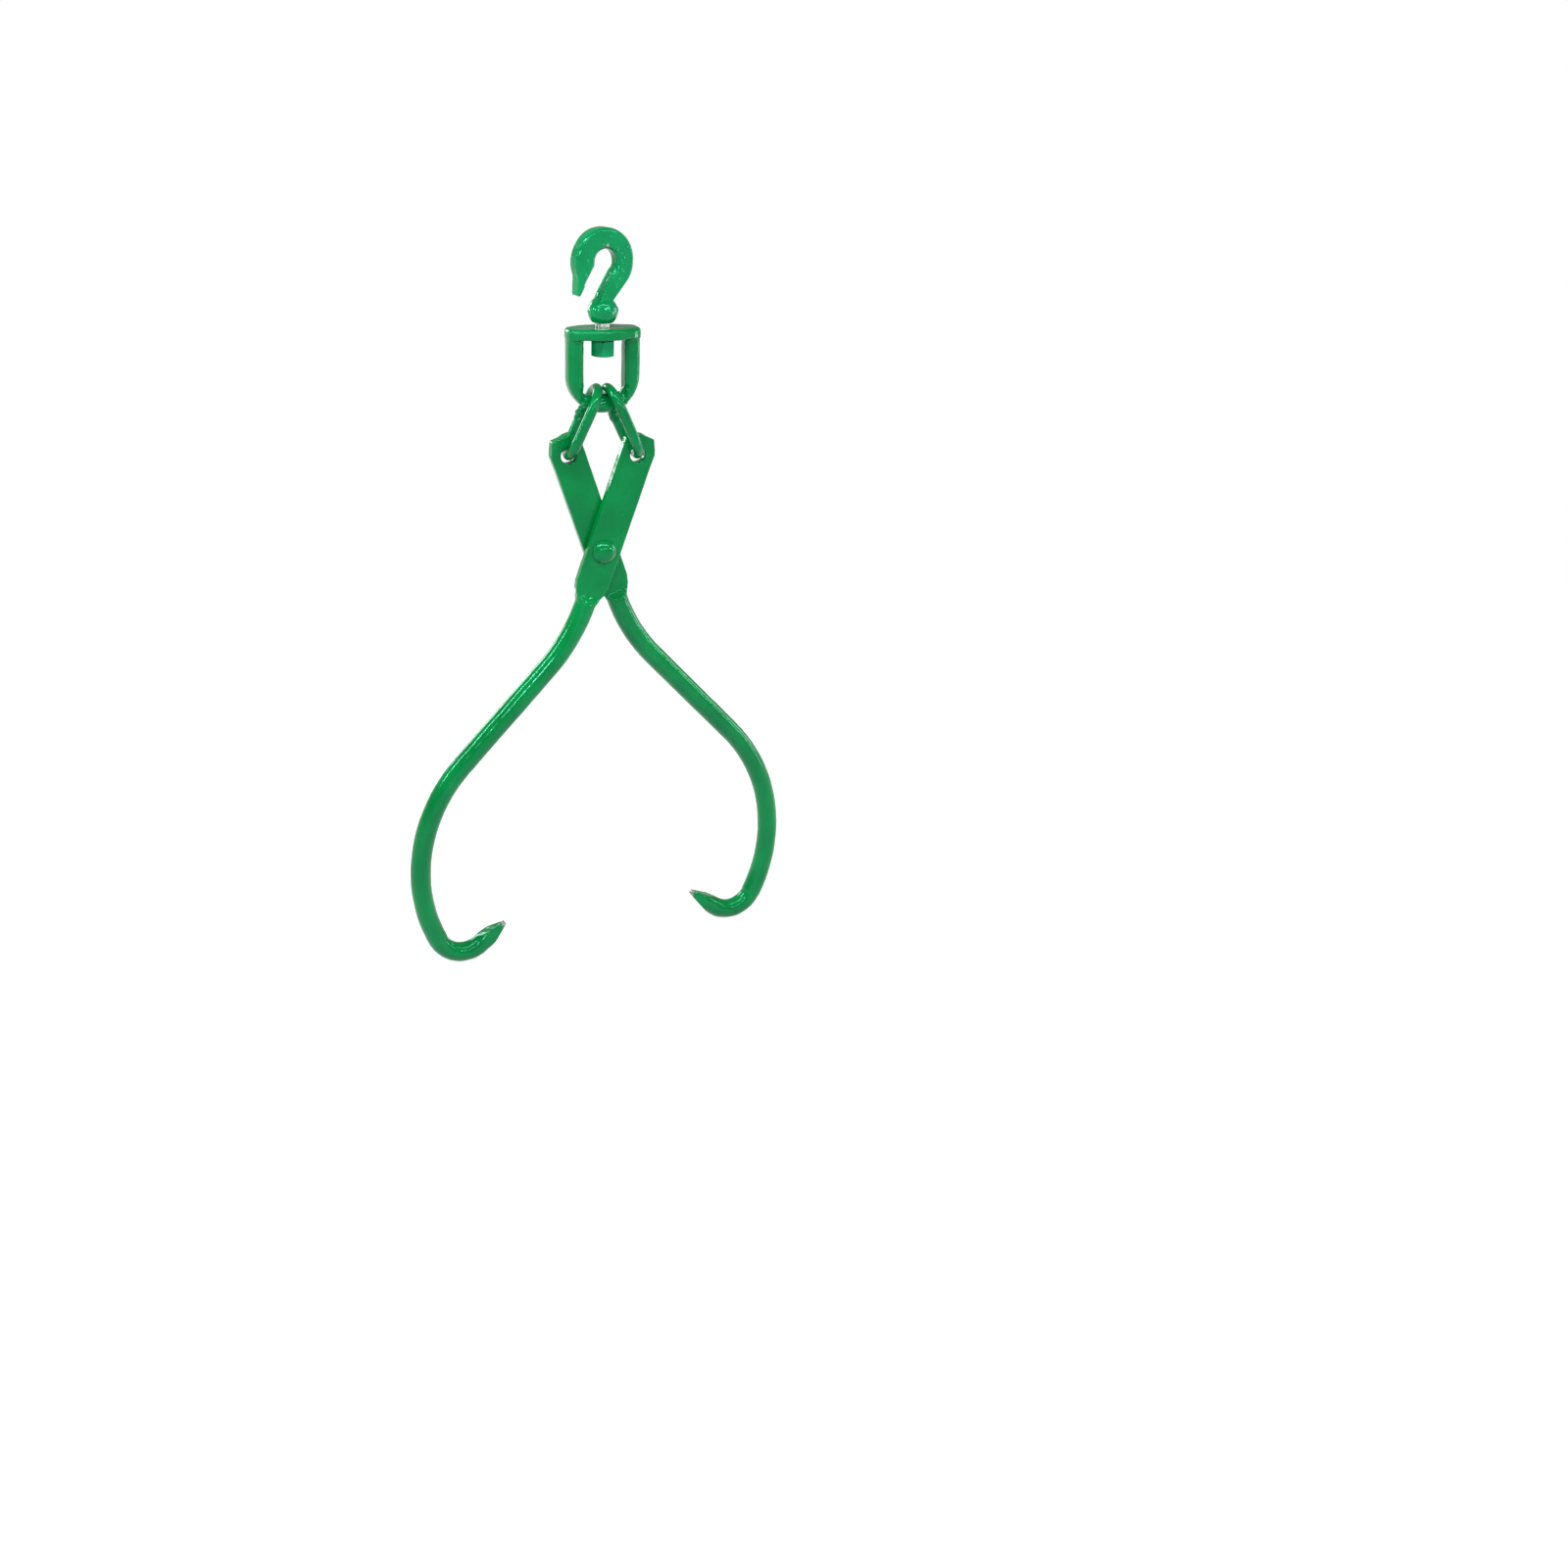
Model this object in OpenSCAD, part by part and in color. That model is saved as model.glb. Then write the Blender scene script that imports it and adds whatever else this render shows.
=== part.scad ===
// Two-claw log tongs on a swivel hook.
// X runs across the tongs, Y from front to back, Z up. The origin is the middle of the hook's bowl.
// The front arm runs from the right eye to the left claw, and the back arm is the same forging
// turned half round.

/* [Swivel hook] */
// Radius of the bowl that the hoist hangs in
bowl_r = 13.4; // [10:0.2:22]
// Radius of the hook's outer edge over the crown
crown_r = 35.2; // [30:0.2:48]
// Thickness of the hook
hook_t = 16.5; // [12:0.5:24]
// Width of the throat
throat_w = 23.2; // [16:0.2:28]
// Lean of the throat from the vertical, degrees
throat_lean = 31; // [24:1:36]
// Diameter of the ball collar under the hook
ball_d = 32; // [28:1:40]
// Diameter of the shank
shank_d = 16; // [12:1:20]
// Turn of the hook about the swivel axis at rest, degrees
hook_turn = 13; // [-30:1:30]
// Bare shank between the collar and the yoke
shank_play = 5; // [2:0.5:12]

/* [Yoke] */
// Clear width inside the yoke
window_w = 46; // [40:1:70]
// Clear height inside the yoke
window_h = 60; // [46:0.5:90]
// Width of each leg
leg_w = 17.4; // [14:0.2:24]
// Depth of the legs
leg_depth = 21.4; // [16:0.2:26]
// Diameter of the bow that the links ride on
bow_d = 19.5; // [16:0.5:24]
// Height of the top bar
top_h = 11.5; // [9:0.5:18]
// Depth of the top bar at its middle
top_depth = 43; // [36:1:60]

/* [Swivel nut] */
// Width of the nut across its flats
nut_af = 24; // [22:1:30]
// Height of the nut
nut_h = 16.5; // [12:0.5:20]
// Thickness of the thrust washer over the nut
washer_t = 2; // [1.5:0.5:4]
// Diameter of the pin that locks the nut
pin_d = 4; // [3:0.5:5]

/* [Links] */
// Diameter of the link's rod
rod_d = 11; // [9:0.5:14]
// Clear width inside a link
link_w = 34; // [30:1:46]
// Clear length inside a link
link_l = 67; // [50:1:100]
// Gap between the two links where they hang side by side
link_gap = 1; // [0.6:0.2:4]
// Twist of the left link about its own length, as it hangs, degrees
link_twist = 9.5; // [0:1:15]
// Height of the weld bead round the rear leg of a link
weld_rise = 1; // [0.6:0.1:1.6]
// Distance of the weld bead down a link from its top rod
weld_drop = 35; // [26:1:44]

/* [Arms] */
// Diameter of the round bar
bar_d = 24; // [18:1:30]
// Width of the flats
flat_w = 38; // [34:1:50]
// Thickness of the flats
flat_t = 11.5; // [8:0.5:16]
// Lean of the flats from the vertical at rest, degrees
arm_lean = 19.3; // [16:0.1:24]
// Distance from the rivet to the eye
eye_reach = 112.7; // [95:0.5:140]
// Diameter of the eye
eye_d = 17; // [16:0.5:22]
// Length of the bar between its two long bends
shin = 143; // [110:1:200]
// Radius of the long bend that goes round the load
claw_r = 190; // [150:1:230]
// Length of the straight point past the toe
point_l = 38; // [36:1:62]

/* [Rivet] */
// Diameter of the rivet
rivet_d = 16; // [12:1:20]
// Diameter of the rivet's heads
rivet_head_d = 28; // [24:1:34]
// Height of the rivet's heads
rivet_head_h = 8; // [5:0.5:12]

/* [Hidden] */
$fn = 64;

green = [0.02, 0.52, 0.27];
bright_steel = [0.72, 0.74, 0.73];

// Clearances: round a pin or shank, between pieces that slide or hang on each other
fit = 0.05;
slip = 0.3;
// Room in the eye for the lean and twist of the link's rod
eye_ease = 1.4;
// Room on the bow for the lean of the link's ring
bow_ease = 0.15;

// Hook: bevels of its outer edge and of its bowl, throat, point, collar and where the shank enters it
hook_bevel = 2.5;
bowl_bevel = 3;
throat_near = bowl_r - 0.8;
throat_far = throat_w - throat_near;
band = crown_r - bowl_r;
tip_r = 5;
tip_x = -29;
tip_z = -31;
ball_z = -(bowl_r + 38.6);
collar_z = ball_z - 11.5;
neck_z = ball_z + 12;

// Yoke heights
yoke_top = collar_z - shank_play;
yoke_under = yoke_top - top_h;
bow_top = yoke_under - window_h;
bow_r = bow_d/2;
yoke_half = window_w/2 + leg_w;
edge_r = 7;
rim_bevel = 2.5;
bend_z = bow_top - bow_d + yoke_half;

// Nut and washer hang under the top bar
washer_top = yoke_under - slip;
nut_top = washer_top - washer_t;
nut_bottom = nut_top - nut_h;
nut_turn = 11.5;

// Each link hangs on the bow at its top and in an eye at its foot
ring_r = (link_w + rod_d)/2;
link_len = link_l + rod_d;
link_x = (rod_d + link_gap)/2;
link_z = bow_top + slip + bow_ease + rod_d/2;
eye_sag = ring_r - sqrt(ring_r*ring_r - flat_t*flat_t/4);
eye_play = (eye_d - rod_d)/2 - slip - eye_sag - eye_ease;
plate_y = (flat_t + slip)/2;
reach = link_len + eye_play;
eye_x = eye_reach*sin(arm_lean);
drop_x = eye_x - link_x;
drop_z = sqrt(reach*reach - drop_x*drop_x - plate_y*plate_y);
lean_back = asin(plate_y/reach);
lean_side = atan(drop_x/drop_z);

// The rivet is under the eyes
pivot_z = link_z - drop_z - eye_reach*cos(arm_lean);

// Arm: the flat narrows to a shoulder and becomes the round bar
shoulder_top = 40;
shoulder_w = 33;
shoulder = 49;
neck_w = 28;
neck = 53;
bar_start = 62;
crop = 19;
shoulder_r = 200;
shoulder_bend = 24;
claw_bend = 69;
toe_r = 32;
toe_bend = 102;
// The bar draws down in steps of this much along the claw, the toe and the point
draw = 0.4;
lap = 1;
point_end = 5;
point_slopes = [14, 18, 14, 14];

// The hook's head: a disc with bevelled rims, set across the hook
module crown() {
    translate([-1.4, hook_t/2, 0.2]) rotate([90, 0, 0]) rotate_extrude($fn = 96) polygon([
        [0, 0], [crown_r - hook_bevel, 0], [crown_r, hook_bevel],
        [crown_r, hook_t - hook_bevel], [crown_r - hook_bevel, hook_t], [0, hook_t]
    ]);
}

// A bevelled slice of bar across the hook, for the point and the shank
module slice(x, z, r) {
    translate([x, 0, z]) rotate([90, 0, 0]) {
        cylinder(r = r, h = hook_t - 2*hook_bevel, center = true, $fn = 32);
        cylinder(r = r - hook_bevel/2, h = hook_t, center = true, $fn = 32);
    }
}

module hook_point() {
    hull() {
        slice(0.6 - bowl_r - band/2, -1, band/2 - 0.8);
        slice(2.5 - bowl_r*2, -14, band/2 - 1.7);
    }
    hull() {
        slice(2.5 - bowl_r*2, -14, band/2 - 1.7);
        slice(tip_x, tip_z, tip_r);
    }
}

module hook_shank() {
    side = bowl_r + band/2 - 0.3;
    hull() {
        slice(side*cos(throat_lean + 2) - 1, -side*sin(throat_lean + 2), band/2 - 0.7);
        slice(-0.6, neck_z - 1, 7.4);
    }
}

// The bowl, with its rims bevelled on both faces, and the throat that leads into it
module bowl_and_throat() {
    rotate([90, 0, 0]) cylinder(r = bowl_r, h = 2*hook_t, center = true);
    for (side = [0, 1]) mirror([0, side, 0]) translate([0, bowl_bevel - hook_t/2, 0])
        rotate([90, 0, 0]) cylinder(h = bowl_bevel + 1, r1 = bowl_r, r2 = bowl_r + bowl_bevel + 1);
    rotate([0, throat_lean, 0])
        translate([-throat_far, -hook_t, -4*bowl_r])
            cube([throat_w, 2*hook_t, 4*bowl_r]);
}

// The collar is a ball with a flat foot, under a cone and a neck that gather the hook's shank
module collar() {
    difference() {
        union() {
            translate([0, 0, ball_z]) sphere(d = ball_d);
            translate([0, 0, ball_z]) cylinder(h = neck_z - ball_z, r1 = ball_d/2 - 0.5, r2 = hook_t/2);
            translate([0, 0, neck_z - 3]) rotate([0, 14, 0]) cylinder(h = 9, r = hook_t/2 - 0.2);
        }
        translate([0, 0, collar_z - ball_d]) cylinder(h = ball_d, d = ball_d + 2);
    }
}

module hook() {
    color(green) union() {
        rotate([0, 0, hook_turn]) {
            difference() {
                union() {
                    crown();
                    hook_point();
                    hook_shank();
                }
                bowl_and_throat();
            }
            collar();
        }
        difference() {
            translate([0, 0, nut_bottom]) cylinder(h = ball_z - nut_bottom, d = shank_d);
            pin_hole();
        }
    }
}

module pin_hole() {
    translate([0, 0, nut_bottom + nut_h/2])
        rotate([0, 0, nut_turn - 30])
            rotate([0, 90, 0])
                cylinder(h = 2*nut_af, d = pin_d + 2*fit, center = true, $fn = 32);
}

module thrust_washer() {
    color(bright_steel) translate([0, 0, nut_top]) difference() {
        cylinder(h = washer_t, d = nut_af + 1);
        translate([0, 0, -1]) cylinder(h = washer_t + 2, d = shank_d + 2*fit);
    }
}

module swivel_nut() {
    corner_r = nut_af/2/cos(30);
    face_r = nut_af/2 - 0.3;
    rim = (corner_r + 1 - face_r)/2;
    color(green) difference() {
        translate([0, 0, nut_bottom]) intersection() {
            rotate([0, 0, nut_turn]) cylinder(h = nut_h, r = corner_r, $fn = 6);
            rotate_extrude() polygon([
                [0, 0], [face_r, 0], [corner_r + 1, rim],
                [corner_r + 1, nut_h - rim], [face_r, nut_h], [0, nut_h]
            ]);
        }
        translate([0, 0, nut_bottom - 1]) cylinder(h = nut_h + 2, d = shank_d + 2*fit);
        pin_hole();
    }
}

module lock_pin() {
    color(bright_steel)
        translate([0, 0, nut_bottom + nut_h/2])
            rotate([0, 0, nut_turn - 30])
                rotate([0, 90, 0])
                    cylinder(h = nut_af - 0.6, d = pin_d, center = true, $fn = 32);
}

// Half of the yoke's section across its legs, from the middle out, with rounded outer edges
module yoke_section() {
    corner_y = leg_depth/2 - edge_r;
    for (side = [-1, 1])
        translate([yoke_half - edge_r, side*corner_y]) circle(r = edge_r);
    translate([0, -leg_depth/2]) square([yoke_half - edge_r, leg_depth]);
    translate([0, -corner_y]) square([yoke_half, 2*corner_y]);
}

// The window between the legs, down to the middle of the bow, with bevelled edges
module window() {
    bevel = 4;
    bottom = bow_top - bow_r;
    translate([-window_w/2, -leg_depth, bottom]) cube([window_w, 2*leg_depth, yoke_under - bottom]);
    for (x = [-1, 1], y = [-1, 1])
        translate([x*window_w/2, y*leg_depth/2, bottom]) rotate([0, 0, 45])
            translate([-bevel/sqrt(2), -bevel/sqrt(2), 0])
                cube([bevel*sqrt(2), bevel*sqrt(2), yoke_under - bottom]);
}

// The bow's round top, and the fillets where it rises into the legs
module bow() {
    fillet = 7;
    translate([3 - yoke_half/1.4, 0, bow_top - bow_r]) rotate([90, 0, 90])
        linear_extrude(2*(yoke_half/1.4 - 3)) intersection() {
            circle(d = bow_d);
            translate([-bow_d, -1]) square([2*bow_d, bow_d]);
        }
    for (side = [0, 180]) rotate([0, 0, side]) difference() {
        translate([window_w/2 - fillet, -bow_r/2, bow_top - fillet/2]) cube([fillet + 1, bow_r, 1.5*fillet]);
        translate([window_w/2 - fillet, 0, bow_top + fillet])
            rotate([90, 0, 0]) cylinder(r = fillet, h = bow_d, center = true);
    }
}

// Round disc with a bevelled top rim; three of them cross in the lens-shaped top bar
module rim_disc(r) {
    rotate_extrude($fn = 128)
        polygon([[0, 0], [r, 0], [r, top_h - rim_bevel], [r - rim_bevel, top_h], [0, top_h]]);
}

// The top bar: lens-shaped in plan, with its ends rounded just outside the legs
module top_bar() {
    bulge = top_depth/2;
    rise = bulge - 9.5;
    lens_r = (yoke_half*yoke_half + rise*rise)/(2*rise);
    translate([0, 0, yoke_under]) intersection() {
        translate([0, lens_r - bulge, 0]) rim_disc(lens_r);
        translate([0, bulge - lens_r, 0]) rim_disc(lens_r);
        rim_disc(yoke_half + 0.5);
    }
}

module yoke() {
    color(green) difference() {
        union() {
            difference() {
                union() {
                    translate([0, 0, bend_z]) linear_extrude(yoke_under + 2 - bend_z)
                        for (side = [0, 180]) rotate(side) yoke_section();
                    translate([0, 0, bend_z]) rotate([-90, 0, 0])
                        rotate_extrude(angle = 180) yoke_section();
                }
                window();
            }
            bow();
            top_bar();
        }
        translate([0, 0, yoke_under - 1]) cylinder(h = top_h + 2, d = shank_d + 4*fit);
    }
}

// One welded link, hanging down from the middle of its top rod, with the weld on its leg at side
module link(weld_side) {
    straight = link_len - 2*ring_r;
    color(green) {
        translate([0, 0, -ring_r]) half_ring();
        translate([0, 0, -ring_r - straight]) mirror([0, 0, 1]) half_ring();
        for (side = [-1, 1])
            translate([0, side*ring_r, -ring_r - straight]) cylinder(h = straight, d = rod_d);
        translate([0, weld_side*ring_r, -weld_drop]) sphere(d = rod_d + 2*weld_rise);
    }
}

module half_ring() {
    rotate([90, 0, 90]) rotate_extrude(angle = 180) translate([ring_r, 0]) circle(d = rod_d);
}

// A link hung between the bow and the right eye; the left one is turned half round
module hung_link(twist, weld_side) {
    translate([link_x, 0, link_z]) rotate([-lean_back, -lean_side, 0]) rotate([0, 0, twist])
        link(weld_side);
}

module link_right() {
    hung_link(0, 1);
}

module link_left() {
    rotate([0, 0, 180]) hung_link(-link_twist, -1);
}

// Straight and bent runs of the round bar; each hands its end on to what follows it
module run(length, d) {
    translate([0, 0, -length]) {
        cylinder(h = length, d = d);
        children();
    }
}

module bend(radius, angle, d, lap = 0) {
    centre = radius*sign(angle);
    cylinder(h = lap, d = d);
    translate([-centre, 0, 0]) {
        rotate([90, 0, 0]) rotate([0, 0, angle > 0 ? -angle : 180])
            rotate_extrude(angle = abs(angle)) translate([radius, 0]) circle(d = d);
        rotate([0, angle, 0]) translate([centre, 0, 0]) children();
    }
}

// Four ground facets run the bar out to a blunt point
module ground_point(d) {
    difference() {
        translate([0, 0, -point_l]) cylinder(h = point_l + lap, d = d);
        for (k = [0:3])
            translate([0, 0, -point_l]) rotate([0, 0, 90*k])
                translate([point_end/2, 0, 0]) rotate([0, point_slopes[k], 0])
                    translate([0, -bar_d, -bar_d]) cube([bar_d, 2*bar_d, point_l + 2*bar_d]);
    }
}

// The flat's outline: x across it, y along it, the rivet at the origin
module flat_outline() {
    top = eye_reach + 21;
    half = flat_w/2;
    polygon([
        [-half, top - 7], [crop/2 - half, top + 2], [half - 6, top], [half + 0.5, top - 16],
        [half, top - 34], [half, -shoulder_top], [shoulder_w/2, -shoulder], [neck_w/2, -neck],
        [-neck_w/2, -neck], [-shoulder_w/2, -shoulder], [-half, -shoulder_top]
    ]);
}

// One arm about its rivet, with its eye towards +X and its claw towards -X, flat on the plane y = 0
module arm() {
    difference() {
        rotate([90, 0, 0])
            linear_extrude(flat_t, center = true) flat_outline();
        translate([0, 0, eye_reach]) rotate([90, 0, 0]) cylinder(h = 2*flat_t, d = eye_d, center = true);
        rotate([90, 0, 0]) cylinder(h = 2*flat_t, d = rivet_d + 2*fit, center = true);
    }
    hull() {
        translate([-neck_w/2, -flat_t/2, -neck]) cube([neck_w, flat_t, 0.01]);
        translate([0, 0, -bar_start]) cylinder(h = 0.01, d = bar_d, $fn = 32);
    }
    translate([0, 0, -bar_start])
        bend(shoulder_r, shoulder_bend, bar_d)
            run(shin, bar_d)
                bend(claw_r, -claw_bend, bar_d - draw, lap)
                    bend(toe_r, -toe_bend, bar_d - 3*draw, lap)
                        ground_point(bar_d - 4*draw);
}

module front_arm() {
    color(green) translate([0, -plate_y, pivot_z]) rotate([0, arm_lean, 0]) arm();
}

module back_arm() {
    rotate([0, 0, 180]) front_arm();
}

module rivet() {
    grip = 2*flat_t + slip + 2*slip;
    dome_r = (pow(rivet_head_d/2, 2) + rivet_head_h*rivet_head_h)/(2*rivet_head_h);
    color(green) translate([0, 0, pivot_z]) rotate([90, 0, 0]) {
        cylinder(h = grip, d = rivet_d, center = true);
        for (side = [0, 1]) mirror([0, 0, side])
            translate([0, 0, grip/2]) intersection() {
                translate([0, 0, rivet_head_h - dome_r]) sphere(r = dome_r);
                cylinder(h = rivet_head_h, d = rivet_head_d);
            }
    }
}

hook();
thrust_washer();
swivel_nut();
lock_pin();
yoke();
link_right();
link_left();
front_arm();
back_arm();
rivet();
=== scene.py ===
import math

import bmesh
import bpy
from mathutils import Matrix, Vector, noise


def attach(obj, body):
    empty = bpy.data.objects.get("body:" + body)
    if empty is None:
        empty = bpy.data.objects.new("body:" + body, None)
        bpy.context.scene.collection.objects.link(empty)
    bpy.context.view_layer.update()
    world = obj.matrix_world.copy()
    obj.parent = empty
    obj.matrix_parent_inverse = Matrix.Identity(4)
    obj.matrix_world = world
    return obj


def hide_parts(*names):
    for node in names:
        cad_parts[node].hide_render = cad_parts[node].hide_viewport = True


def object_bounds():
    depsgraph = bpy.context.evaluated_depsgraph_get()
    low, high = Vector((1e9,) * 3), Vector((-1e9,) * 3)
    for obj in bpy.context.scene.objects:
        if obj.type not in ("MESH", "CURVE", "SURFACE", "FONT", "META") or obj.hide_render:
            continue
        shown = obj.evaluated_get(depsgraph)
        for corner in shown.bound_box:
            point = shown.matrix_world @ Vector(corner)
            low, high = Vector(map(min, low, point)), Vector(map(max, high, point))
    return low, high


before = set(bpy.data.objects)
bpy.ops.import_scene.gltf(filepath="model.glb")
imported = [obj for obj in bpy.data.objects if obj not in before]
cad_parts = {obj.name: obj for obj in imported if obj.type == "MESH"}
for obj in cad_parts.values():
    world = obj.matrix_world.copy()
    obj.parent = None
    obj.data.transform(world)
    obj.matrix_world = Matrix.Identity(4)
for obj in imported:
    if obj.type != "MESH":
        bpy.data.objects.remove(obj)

# Two-claw log tongs, put together from the hook down to the claws. Lengths are in metres.
cad_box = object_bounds()


# Lifting hook: one steel forging, flat-sided with bevelled rims, on a hammered ball collar.
# It is dipped in thick green enamel, which rounds every edge and shows the forging's lumps.
def forged_skin(name, node, grain, rounding, keep_above=None):
    """The node's form as one skin of quads, its edges rounded as forging and paint leave them."""
    form = bmesh.new()
    form.from_mesh(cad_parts[node].data)
    bmesh.ops.remove_doubles(form, verts=form.verts[:], dist=1e-6)
    if keep_above is not None:
        cut = bmesh.ops.bisect_plane(
            form, geom=form.verts[:] + form.edges[:] + form.faces[:],
            plane_co=(0, 0, keep_above), plane_no=(0, 0, 1), clear_inner=True)
        rim = [edge for edge in cut["geom_cut"] if isinstance(edge, bmesh.types.BMEdge)]
        bmesh.ops.edgenet_fill(form, edges=rim)
    mesh = bpy.data.meshes.new(name)
    form.to_mesh(mesh)
    form.free()
    pattern = bpy.data.objects.new(name + "_pattern", mesh.copy())
    piece = bpy.data.objects.new(name, mesh)
    for made in (pattern, piece):
        bpy.context.scene.collection.objects.link(made)
    skin = piece.modifiers.new("skin", "REMESH")
    skin.mode = "VOXEL"
    skin.voxel_size = grain
    seat = piece.modifiers.new("seat", "SHRINKWRAP")
    seat.target = pattern
    soften = piece.modifiers.new("rounding", "SMOOTH")
    soften.factor = 0.5
    soften.iterations = rounding
    posed = piece.evaluated_get(bpy.context.evaluated_depsgraph_get())
    piece.data = bpy.data.meshes.new_from_object(posed)
    piece.modifiers.clear()
    bpy.data.objects.remove(pattern)
    piece.data.name = name
    piece.data.shade_smooth()
    return piece


def raise_skin(piece, height):
    """Moves each point of the skin along its normal by height(point), in metres."""
    normals = [vert.normal.copy() for vert in piece.data.vertices]
    for vert, normal in zip(piece.data.vertices, normals):
        vert.co += normal * height(vert.co)
    piece.data.update()


def near(point, centre, reach):
    """1 at the centre, falling smoothly to 0 at reach."""
    fade = max(0.0, 1.0 - (point - Vector(centre)).length / reach)
    return fade * fade * (3 - 2 * fade)


def lumps(point, spacing, seed):
    """Smooth unevenness between -1 and 1, its lumps about as wide as the spacing."""
    return noise.noise(point / spacing + Vector((seed, -seed, 2 * seed)))


def rub(piece, spots):
    """Marks where neighbours have rubbed the paint: 1 at each spot, 0 beyond its reach."""
    worn = piece.data.attributes.new("rubbed", "FLOAT", "POINT")
    for vert, value in zip(piece.data.vertices, worn.data):
        value.value = min(1.0, sum(near(vert.co, centre, reach) for centre, reach in spots))


def spread(tree, source, low, high, to_low, to_high, curve="LINEAR"):
    """A node that turns the source's range low to high into to_low to to_high."""
    ramp = tree.nodes.new("ShaderNodeMapRange")
    ramp.interpolation_type = curve
    for socket, value in zip(("From Min", "From Max", "To Min", "To Max"),
                             (low, high, to_low, to_high)):
        ramp.inputs[socket].default_value = value
    tree.links.new(source, ramp.inputs["Value"])
    return ramp.outputs["Result"]


def green_enamel(name, deep, light, wear=0.9):
    """Glossy enamel over forged steel, worn through where the skin is rubbed."""
    material = bpy.data.materials.new(name)
    material.use_nodes = True
    tree = material.node_tree
    shader = tree.nodes["Principled BSDF"]
    place = tree.nodes.new("ShaderNodeTexCoord").outputs["Object"]

    def grain_of(scale, detail):
        grain = tree.nodes.new("ShaderNodeTexNoise")
        grain.inputs["Scale"].default_value = scale
        grain.inputs["Detail"].default_value = detail
        tree.links.new(place, grain.inputs["Vector"])
        return grain.outputs["Fac"]

    def blend_of(factor, first, second, kind="RGBA"):
        mix = tree.nodes.new("ShaderNodeMix")
        mix.data_type = kind
        tree.links.new(factor, mix.inputs["Factor"])
        pair = [s for s in mix.inputs if s.enabled and s.name in ("A", "B")]
        for socket, value in zip(pair, (first, second)):
            if isinstance(value, bpy.types.NodeSocket):
                tree.links.new(value, socket)
            else:
                socket.default_value = value
        return next(s for s in mix.outputs if s.enabled)

    clouds = spread(tree, grain_of(22, 3), 0.35, 0.65, 0, 1)
    tone = blend_of(clouds, (*deep, 1), (*light, 1))
    specks = spread(tree, grain_of(900, 2), 0.70, 0.76, 0, 0.5)
    tone = blend_of(specks, tone, (0.10, 0.38, 0.20, 1))
    bare = tree.nodes.new("ShaderNodeAttribute")
    bare.attribute_name = "rubbed"
    ragged = tree.nodes.new("ShaderNodeMath")
    ragged.operation = "ADD"
    tree.links.new(bare.outputs["Fac"], ragged.inputs[0])
    tree.links.new(spread(tree, grain_of(340, 5), 0.25, 0.75, -wear, 0), ragged.inputs[1])
    steel = spread(tree, ragged.outputs[0], 0.10, 0.20, 0, 1)
    tree.links.new(blend_of(steel, tone, (0.32, 0.31, 0.29, 1)), shader.inputs["Base Color"])
    tree.links.new(steel, shader.inputs["Metallic"])
    gloss = spread(tree, grain_of(60, 4), 0.3, 0.7, 0.08, 0.15)
    tree.links.new(blend_of(steel, gloss, 0.38, "FLOAT"), shader.inputs["Roughness"])
    shader.inputs["Specular IOR Level"].default_value = 0.50
    shader.inputs["Specular Tint"].default_value = (0.25, 1.0, 0.75, 1)

    ripple = tree.nodes.new("ShaderNodeBump")
    ripple.inputs["Strength"].default_value = 0.35
    ripple.inputs["Distance"].default_value = 0.0004
    tree.links.new(grain_of(150, 2), ripple.inputs["Height"])
    peel = tree.nodes.new("ShaderNodeBump")
    peel.inputs["Strength"].default_value = 0.18
    peel.inputs["Distance"].default_value = 0.0001
    tree.links.new(grain_of(1100, 2), peel.inputs["Height"])
    tree.links.new(ripple.outputs["Normal"], peel.inputs["Normal"])
    tree.links.new(peel.outputs["Normal"], shader.inputs["Normal"])
    return material


# The collar's flat foot, and the hammered ridge round its middle with half the ridge's width
collar_foot = -0.0635
ridge_z = -0.0500
ridge_half = 0.0045
# The hook's broad faces are turned from the tongs' plane, and this far from its middle
hook_turn = Matrix.Rotation(math.radians(13), 4, "Z")
half_thick = 0.00825
point_end = hook_turn @ Vector((-0.0295, 0, -0.0315))
# The throat: how it leans and how deep it is, its two walls as places and outward ways, and
# the flat on its edges, with the margin that is smoothed beside it
throat_lean = math.radians(31)
throat_frame = (hook_turn @ Matrix.Rotation(throat_lean, 4, "Y")).inverted()
throat_depth = 0.034
throat_walls = [(-0.0106, -1), (0.0126, 1)]
chamfer = 0.0021
margin = 0.0012
# Dimples that the dies left on both broad faces: place across and up, reach and height, in
# millimetres
die_marks = [(12, 13, 2.56, 0.72), (17, 9, 2.4, 0.64), (20.5, 4, 2.24, 0.64),
             (18, -2, 2.08, 0.56), (19, -10, 2.56, 0.8), (14, -17, 2.4, 0.64),
             (10, -25, 2.56, 0.72), (-19, 12, 2.88, 0.48), (-24, 2, 2.56, 0.48),
             (-27, -12, 2.72, 0.48), (24, 14, 2.4, 0.56), (4, 25, 2.56, 0.48)]
dimples = [(hook_turn @ Vector((x / 1000, side * 0.0082, z / 1000)), reach / 1000, high / 1000)
           for side in (-1, 1) for x, z, reach, high in die_marks]
hook = forged_skin("hook_forging", "hook", grain=0.0006, rounding=6,
                   keep_above=collar_foot + 0.0001)


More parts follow.
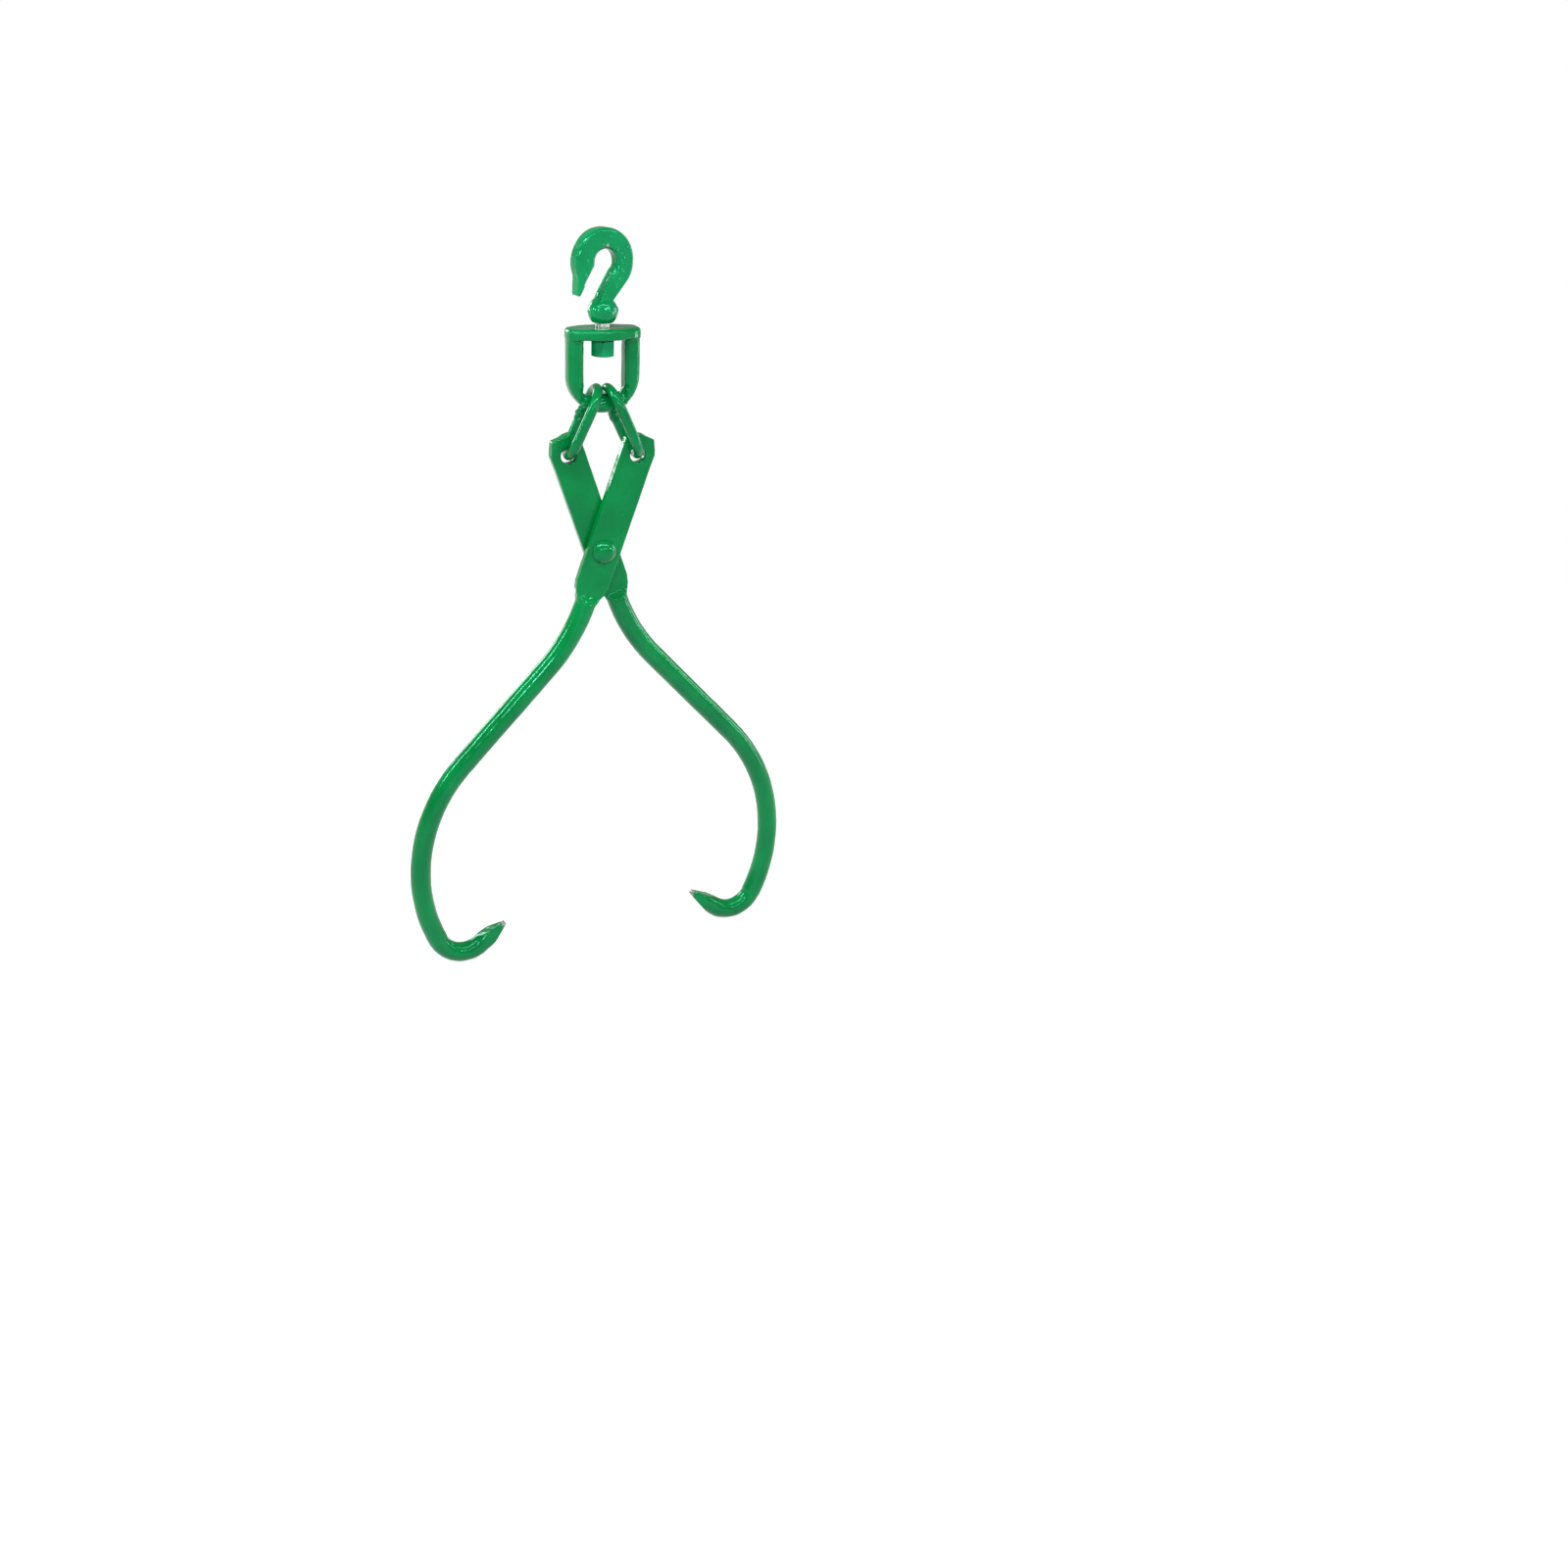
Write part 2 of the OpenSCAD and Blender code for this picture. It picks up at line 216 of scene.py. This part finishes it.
def chamfer_throat(piece):
    """Grinds the throat's long edges to a flat of 45 degrees, as the trim of the flash does."""
    back = throat_frame.inverted()
    form = bmesh.new()
    form.from_mesh(piece.data)
    ground = []
    for vert in form.verts:
        spot = throat_frame @ vert.co
        if not -throat_depth < spot.z < 0:
            continue
        for wall, way in throat_walls:
            inside = (spot.x - wall) * way
            deep = half_thick - abs(spot.y)
            proud = chamfer - inside - deep
            if -margin < proud and -0.001 < inside < chamfer + margin:
                ground.append(vert)
                if proud > 0:
                    spot.x += way * proud / 2
                    spot.y -= math.copysign(proud / 2, spot.y)
                    vert.co = back @ spot
    for _ in range(6):
        bmesh.ops.smooth_vert(form, verts=ground, factor=0.5,
                              use_axis_x=True, use_axis_y=True, use_axis_z=True)
    form.to_mesh(piece.data)
    form.free()


def round_off(piece, centre, reach, turns):
    """Blunts the skin within reach of the centre, as a file and thick paint do."""
    form = bmesh.new()
    form.from_mesh(piece.data)
    ends = [vert for vert in form.verts if (vert.co - centre).length < reach]
    for _ in range(turns):
        bmesh.ops.smooth_vert(form, verts=ends, factor=0.5,
                              use_axis_x=True, use_axis_y=True, use_axis_z=True)
    form.to_mesh(piece.data)
    form.free()


def hook_surface(point):
    """The forging's lumps, the collar's ridge, the dimples and the thick paint at the point."""
    rise = 0.00022 * lumps(point, 0.013, 3) + 0.00006 * lumps(point, 0.005, 5)
    ridge = max(0.0, 1 - abs(point.z - ridge_z) / ridge_half)
    rise += ridge * (0.0007 + 0.0011 * lumps(point, 0.0040, 8))
    for spot, reach, height in dimples:
        rise += height * near(point, spot, reach)
    return rise + 0.0008 * near(point, point_end, 0.014)


chamfer_throat(hook)
round_off(hook, point_end, reach=0.0070, turns=25)
raise_skin(hook, hook_surface)
bowl_top = 0.0145
rub(hook, [((0, y, bowl_top), 0.012) for y in (-0.004, 0.004)])
hook.data.materials.append(
    green_enamel("hook_enamel", deep=(0.0, 0.225, 0.062), light=(0.0, 0.30, 0.092)))
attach(hook, "hook")
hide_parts("hook")


# Hook shank: the plain turned end of the same forging. It is masked when the hook is painted,
# and turns bright in the yoke's bore.
def turned(name, profile, sides=72):
    """A piece turned about the swivel's axis, from (radius, height) pairs."""
    form = bmesh.new()
    rings = []
    for radius, height in profile:
        if radius == 0:
            rings.append([form.verts.new((0, 0, height))])
            continue
        rings.append([form.verts.new((radius * math.cos(turn), radius * math.sin(turn), height))
                      for turn in (2 * math.pi * k / sides for k in range(sides))])
    for upper, lower in zip(rings, rings[1:]):
        for k in range(sides):
            corners = [upper[k % len(upper)], lower[k % len(lower)],
                       lower[(k + 1) % len(lower)], upper[(k + 1) % len(upper)]]
            form.faces.new(list(dict.fromkeys(corners)))
    bmesh.ops.recalc_face_normals(form, faces=form.faces[:])
    mesh = bpy.data.meshes.new(name)
    form.to_mesh(mesh)
    form.free()
    piece = bpy.data.objects.new(name, mesh)
    bpy.context.scene.collection.objects.link(piece)
    mesh.shade_smooth()
    return piece


def worn_steel(name, tint, rough, streaks):
    """Bare steel with fine scratches and a little darker bloom."""
    material = bpy.data.materials.new(name)
    material.use_nodes = True
    tree = material.node_tree
    shader = tree.nodes["Principled BSDF"]
    shader.inputs["Metallic"].default_value = 1.0
    place = tree.nodes.new("ShaderNodeTexCoord")
    stretch = tree.nodes.new("ShaderNodeMapping")
    stretch.inputs["Scale"].default_value = streaks
    tree.links.new(place.outputs["Object"], stretch.inputs["Vector"])
    scratch = tree.nodes.new("ShaderNodeTexNoise")
    scratch.inputs["Scale"].default_value = 900
    scratch.inputs["Detail"].default_value = 4
    tree.links.new(stretch.outputs["Vector"], scratch.inputs["Vector"])
    bloom = tree.nodes.new("ShaderNodeTexNoise")
    bloom.inputs["Scale"].default_value = 160
    bloom.inputs["Detail"].default_value = 5
    tree.links.new(place.outputs["Object"], bloom.inputs["Vector"])
    shades = tree.nodes.new("ShaderNodeValToRGB")
    shades.color_ramp.elements[0].position = 0.35
    shades.color_ramp.elements[0].color = (*(0.55 * c for c in tint), 1)
    shades.color_ramp.elements[1].position = 0.62
    shades.color_ramp.elements[1].color = (*tint, 1)
    tree.links.new(bloom.outputs["Fac"], shades.inputs["Fac"])
    tree.links.new(shades.outputs["Color"], shader.inputs["Base Color"])
    dull = spread(tree, scratch.outputs["Fac"], 0, 1, rough, rough + 0.25)
    tree.links.new(dull, shader.inputs["Roughness"])
    lines = tree.nodes.new("ShaderNodeBump")
    lines.inputs["Strength"].default_value = 0.3
    lines.inputs["Distance"].default_value = 0.00005
    tree.links.new(scratch.outputs["Fac"], lines.inputs["Height"])
    tree.links.new(lines.outputs["Normal"], shader.inputs["Normal"])
    return material


shank_r = 0.008
yoke_under = -0.0805
nut_foot = -0.0988
# It starts inside the collar and ends in a small chamfer and the lathe's centre mark
shank = turned("hook_shank", [
    (0, collar_foot + 0.003), (shank_r, collar_foot + 0.003), (shank_r, collar_foot - 0.0005),
    (shank_r, yoke_under), (shank_r, nut_foot + 0.0012), (shank_r - 0.0003, nut_foot + 0.0005),
    (shank_r - 0.0011, nut_foot + 0.0001), (0.0015, nut_foot + 0.0001), (0, nut_foot + 0.0006)])
shank.data.materials.append(
    worn_steel("shank_steel", tint=(0.62, 0.66, 0.62), rough=0.22, streaks=(1, 1, 14)))
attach(shank, "hook")
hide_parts("hook")


# Thrust washer: punched from plate, with edges rounded by the tumbler. It carries the load
# between the nut and the yoke's top bar, and turns with the hook.
washer = forged_skin("thrust_washer_ring", "thrust_washer", grain=0.0003, rounding=4)
# Its steel is tinted near black: painted shade, for the shadow that the yoke's top bar casts on
# it.
washer.data.materials.append(
    worn_steel("painted_shade_steel", tint=(0.06, 0.065, 0.06), rough=0.42, streaks=(6, 6, 6)))
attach(washer, "hook")
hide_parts("thrust_washer")


# Swivel nut: a chamfered hexagon nut of plain steel, 24 mm across flats. It is run up the
# shank's end to carry the yoke, and painted in place.
nut = forged_skin("swivel_nut_painted", "swivel_nut", grain=0.0003, rounding=3)
raise_skin(nut, lambda point: 0.00006 * lumps(point, 0.007, 11))
rub(nut, [])
# Its green is lighter than the hook's enamel: painted light, for how brightly the nut's facets are
# lit.
nut.data.materials.append(
    green_enamel("nut_enamel_painted_light", deep=(0.0, 0.27, 0.085), light=(0.0, 0.35, 0.115)))
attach(nut, "hook")
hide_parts("swivel_nut")


# Lock pin: 4 mm steel wire, cut to length and left bare. It is driven through nut and shank,
# so that the nut can't turn off under the load.
pin_steel = worn_steel("pin_steel", tint=(0.50, 0.51, 0.50), rough=0.30, streaks=(8, 8, 1))
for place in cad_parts["lock_pin"].material_slots:
    place.material = pin_steel


# Yoke: a forged stirrup with a lens-shaped top bar, bored for the shank, two deep legs and a
# round bow below. Hammer marks are left where the bow was drawn down between the legs.
bow_axis = -0.14975
# The window's corners: half its width, and each height with the depths where it is blunted
window_half = 0.0225
window_corners = [(yoke_under, (-0.015, -0.008, 0, 0.008, 0.015)), (-0.139, (-0.008, 0, 0.008))]
yoke = forged_skin("yoke_forging", "yoke", grain=0.0008, rounding=26)


def yoke_surface(point):
    """The forging's lumps, and deeper hammer marks at the bends inside the bow."""
    rise = 0.00028 * lumps(point, 0.017, 21) + 0.00008 * lumps(point, 0.005, 22)
    inner_bend = sum(near(point, (side * 0.021, y, bow_axis + 0.012), 0.017)
                     for side in (-1, 1) for y in (-0.009, 0.009))
    return rise + inner_bend * 0.0015 * lumps(point, 0.0045, 25)


for side in (-1, 1):
    for corner_z, depths in window_corners:
        for corner_y in depths:
            corner = Vector((side * window_half, corner_y, corner_z))
            round_off(yoke, corner, reach=0.0085, turns=22)
raise_skin(yoke, yoke_surface)
links_bear = -0.140
rub(yoke, [((side * 0.006, 0, links_bear), 0.007) for side in (-1, 1)])
yoke.data.materials.append(
    green_enamel("yoke_enamel", deep=(0.0, 0.175, 0.036), light=(0.0, 0.235, 0.054)))
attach(yoke, "yoke")
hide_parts("yoke")


# Links: two long rings of 11 mm rod, bent round the yoke's bow and butt-welded by hand on the
# leg behind, where the bead stays proud and lumpy under the paint.
rod_r = 0.0055
link_length = 0.078
link_top = Vector((0.006, 0, -0.13405))
link_lean = math.radians(-23.51)
link_tilt = math.radians(-4.31)
weld_z = -0.035
weld_half = 0.009


def hang_link(name, node, side, twist):
    """One link as it hangs; side is 1 for the right one and -1 for the left, turned half round."""
    link = forged_skin(name, node, grain=0.0006, rounding=5)
    hang = (Matrix.Rotation(math.pi if side < 0 else 0, 4, "Z")
            @ Matrix.Translation(link_top)
            @ Matrix.Rotation(link_lean, 4, "Y")
            @ Matrix.Rotation(link_tilt, 4, "X")
            @ Matrix.Rotation(math.radians(twist), 4, "Z"))
    own = hang.inverted()

    def surface(point):
        rise = 0.00014 * lumps(point, 0.012, 31 + side)
        spot = own @ point
        behind = spot.y * side
        along = abs(spot.z - weld_z)
        if behind > 0 and along < weld_half:
            crown = 1 - (along / weld_half) ** 2
            rise += crown * (0.0003 + 0.0016 * lumps(point, 0.0038, 35 + side))
        return rise

    raise_skin(link, surface)
    rub(link, [(hang @ Vector((0, 0, -rod_r)), 0.006),
               (hang @ Vector((0, 0, -link_length + rod_r)), 0.006)])
    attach(link, node)
    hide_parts(node)
    return link


link_enamel = green_enamel("link_enamel", deep=(0.0, 0.165, 0.036), light=(0.0, 0.225, 0.052))
for made in (hang_link("right_link", "link_right", side=1, twist=0),
             hang_link("left_link", "link_left", side=-1, twist=-9.5)):
    made.data.materials.append(link_enamel)


# Arms: 24 mm round bar, hammered flat for the eye and the rivet, bent into a shin and a claw
# and ground to a four-sided point. Both are the same forging, one turned half round.
plate_y = 0.0059
rivet_z = -0.312244
arm_lean = math.radians(19.3)
# Heights along the flat, from the rivet: its shoulder with half the width of the hammered
# band, the punched eye's middle with the hole's radius, and the start of the sheared end
shoulder = -0.052
shoulder_half = 0.010
eye_up = 0.1127
eye_r = 0.0085
sheared_from = 0.120
# Blebs in the paint of the flat's outer face: place across and up from the rivet, in
# millimetres
blebs = [(1.6, 66.8), (9.3, 114.5), (11.9, 107), (11.4, 25), (13, 29.5), (-4, 91), (5, 46)]


def forge_arm(name, node, side):
    """One arm in place; side is 1 for the front one and -1 for the back, turned half round."""
    arm = forged_skin(name, node, grain=0.0009, rounding=12)
    seat = (Matrix.Rotation(math.pi if side < 0 else 0, 4, "Z")
            @ Matrix.Translation((0, -plate_y, rivet_z))
            @ Matrix.Rotation(arm_lean, 4, "Y"))
    own = seat.inverted()
    toe = Vector((-side * 0.165, -side * plate_y, -0.770))

    def surface(point):
        spot = own @ point
        rise = -0.0001 + 0.00022 * lumps(point, 0.020, 41 + side)
        rise += 0.00008 * lumps(point, 0.006, 43)
        # Hammer blows across the shoulder, where the flat was set down from the bar. They leave
        # out the inner side, where the two shoulders nearly meet when the tongs are closed.
        outer_side = min(1.0, max(0.0, 0.5 - spot.x / 0.014))
        blow = max(0.0, 1 - abs(spot.z - shoulder) / shoulder_half) * outer_side
        rise += blow * (0.0004 + 0.0011 * lumps(point, 0.0060, 47 + side))
        for across, up in blebs:
            rise += 0.0008 * near(spot, (across / 1000, -0.00575, up / 1000), 0.0028)
        # The forged bend before the point, and the sheared end of the flat
        rise += near(point, toe, 0.045) * 0.0005 * lumps(point, 0.009, 49)
        if spot.z > sheared_from:
            rise += 0.0007 * lumps(point, 0.008, 51 + side)
        return rise

    raise_skin(arm, surface)
    eye = seat @ Vector((0, 0, eye_up + eye_r))
    tip = Vector((-side * 0.1162, -side * plate_y, -0.7468))
    rub(arm, [(eye, 0.0065), (tip, 0.016)])
    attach(arm, node)
    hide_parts(node)
    return arm


arm_enamel = green_enamel("arm_enamel", deep=(0.0, 0.180, 0.034), light=(0.0, 0.245, 0.050),
                          wear=0.95)
for made in (forge_arm("front_arm_forging", "front_arm", side=1),
             forge_arm("back_arm_forging", "back_arm", side=-1)):
    made.data.materials.append(arm_enamel)


# Rivet: 16 mm shank, its two heads set hot over the flats and painted with them. The dolly
# leaves each dome slightly dented.
domes_from = 0.0125
rivet = forged_skin("pivot_rivet", "rivet", grain=0.0006, rounding=6)
raise_skin(rivet, lambda point: (0.0004 * lumps(point, 0.0085, 61)
                                 if abs(point.y) > domes_from else 0.0))
rub(rivet, [])
# Its green is darker than the arms' enamel that it is painted with: painted shade, for the shade
# on the heads' lower sides.
rivet.data.materials.append(
    green_enamel("rivet_enamel_painted_shade", deep=(0.0, 0.155, 0.030), light=(0.0, 0.205, 0.044)))
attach(rivet, "front_arm")
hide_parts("rivet")


# Floor: a pale matt sheet at the height of the claws' lowest point. It fades out into the
# surround some way off, so that no edge of it shows.
def seen_rays(tree):
    """1 for the rays that show the backdrop itself: straight, mirrored or through glass."""
    path = tree.nodes.new("ShaderNodeLightPath")
    seen = path.outputs["Is Camera Ray"]
    for ray in ("Is Glossy Ray", "Is Transmission Ray"):
        either = tree.nodes.new("ShaderNodeMath")
        either.operation = "MAXIMUM"
        tree.links.new(seen, either.inputs[0])
        tree.links.new(path.outputs[ray], either.inputs[1])
        seen = either.outputs[0]
    return seen


form = bmesh.new()
bmesh.ops.create_circle(form, cap_ends=True, segments=96, radius=6.0)
mesh = bpy.data.meshes.new("floor")
form.to_mesh(mesh)
form.free()
floor = bpy.data.objects.new("floor", mesh)
floor.location.z = cad_box[0][2]
bpy.context.scene.collection.objects.link(floor)
pale = bpy.data.materials.new("pale_floor")
pale.use_nodes = True
tree = pale.node_tree
sheet = tree.nodes["Principled BSDF"]
sheet.inputs["Base Color"].default_value = (0.46, 0.46, 0.46, 1)
sheet.inputs["Roughness"].default_value = 0.9
sheet.inputs["Specular IOR Level"].default_value = 0.1
clear = tree.nodes.new("ShaderNodeBsdfTransparent")
lift = tree.nodes.new("ShaderNodeMath")
lift.operation = "MULTIPLY"
lift.inputs[1].default_value = 0.80
tree.links.new(seen_rays(tree), lift.inputs[0])
sheet.inputs["Emission Color"].default_value = (1, 1, 1, 1)
tree.links.new(lift.outputs[0], sheet.inputs["Emission Strength"])
place = tree.nodes.new("ShaderNodeTexCoord")
reach = tree.nodes.new("ShaderNodeVectorMath")
reach.operation = "LENGTH"
tree.links.new(place.outputs["Object"], reach.inputs[0])
fade = spread(tree, reach.outputs["Value"], 0.7, 2.4, 0, 1, "SMOOTHSTEP")
mixed = tree.nodes.new("ShaderNodeMixShader")
tree.links.new(fade, mixed.inputs["Fac"])
tree.links.new(sheet.outputs["BSDF"], mixed.inputs[1])
tree.links.new(clear.outputs["BSDF"], mixed.inputs[2])
tree.links.new(mixed.outputs["Shader"], tree.nodes["Material Output"].inputs["Surface"])
floor.data.materials.append(pale)


# Studio: a surround that is white up to the horizon and grey overhead, and gives the object
# only part of its light. A long strip above and one in front light the faces, and narrow
# strips, small panels and two rim panels draw the highlights along the bars and bends.
world = bpy.data.worlds.new("surround")
bpy.context.scene.world = world
world.use_nodes = True
tree = world.node_tree
glow = tree.nodes["Background"]
glow.inputs["Color"].default_value = (1, 1, 1, 1)
heading = tree.nodes.new("ShaderNodeTexCoord")
parts = tree.nodes.new("ShaderNodeSeparateXYZ")
tree.links.new(heading.outputs["Generated"], parts.inputs["Vector"])
level = spread(tree, parts.outputs["Z"], 0.0, 0.14, 1.0, 0.32, "SMOOTHSTEP")
share = spread(tree, seen_rays(tree), 0, 1, 0.34, 1)
strength = tree.nodes.new("ShaderNodeMath")
strength.operation = "MULTIPLY"
tree.links.new(level, strength.inputs[0])
tree.links.new(share, strength.inputs[1])
tree.links.new(strength.outputs[0], glow.inputs["Strength"])


# What the lamps are aimed at: the links, the rivet and the middle of the tongs
at_links = (0, 0, -0.2)
at_rivet = (0, 0, -0.3)
at_middle = (0, 0, -0.35)


def softbox(name, spot, aim, width, height, power):
    """A plain white panel, turned from the spot to the aim: sizes in metres, power in watts."""
    lamp = bpy.data.lights.new(name, "AREA")
    lamp.shape = "RECTANGLE"
    lamp.size = width
    lamp.size_y = height
    lamp.energy = power
    lamp_object = bpy.data.objects.new(name, lamp)
    lamp_object.location = spot
    way = Vector(aim) - Vector(spot)
    lamp_object.rotation_euler = way.to_track_quat("-Z", "Y").to_euler()
    bpy.context.scene.collection.objects.link(lamp_object)


softbox("overhead", (-0.2, -1.0, 1.4), at_rivet, 3.6, 0.12, 34)
softbox("rim_left", (-0.92, 2.0, 0.30), at_middle, 0.7, 1.0, 18)
softbox("line_left", (-1.8, 0.1, 0.9), at_middle, 0.12, 1.3, 26)
softbox("line_front", (-1.3, -1.7, 0.6), at_links, 0.22, 0.22, 6)
softbox("spark_right", (1.7, -1.45, 0.45), at_links, 0.22, 0.22, 6)
softbox("rim_right", (2.2, 0.2, 0.05), at_middle, 0.30, 1.1, 9)
softbox("front_strip", (-0.2, -2.6, 0.80), at_links, 3.2, 0.10, 24)
softbox("line_right", (1.55, -0.50, -0.35), at_links, 0.07, 0.80, 3.5)


# Camera: above and to the left of the tongs, with the whole frame of the picture. Its lens is
# given as the picture's width and the focal length, both in the picture's pixels.
frame_px = 1600
lens_px = 2200
camera_data = bpy.data.cameras.new("camera")
camera_data.sensor_width = 36
camera_data.lens = camera_data.sensor_width * lens_px / frame_px
camera = bpy.data.objects.new("camera", camera_data)
camera_place = (-0.73157, -2.18643, 0.34887)
turned_right = 23.764
tipped_down = 22.078
rolled = 2.321
camera.matrix_world = (Matrix.Translation(camera_place)
                       @ Matrix.Rotation(math.radians(-turned_right), 4, "Z")
                       @ Matrix.Rotation(math.radians(90 - tipped_down), 4, "X")
                       @ Matrix.Rotation(math.radians(rolled), 4, "Z"))
bpy.context.scene.collection.objects.link(camera)
bpy.context.scene.camera = camera
bpy.context.scene.view_settings.view_transform = "Standard"
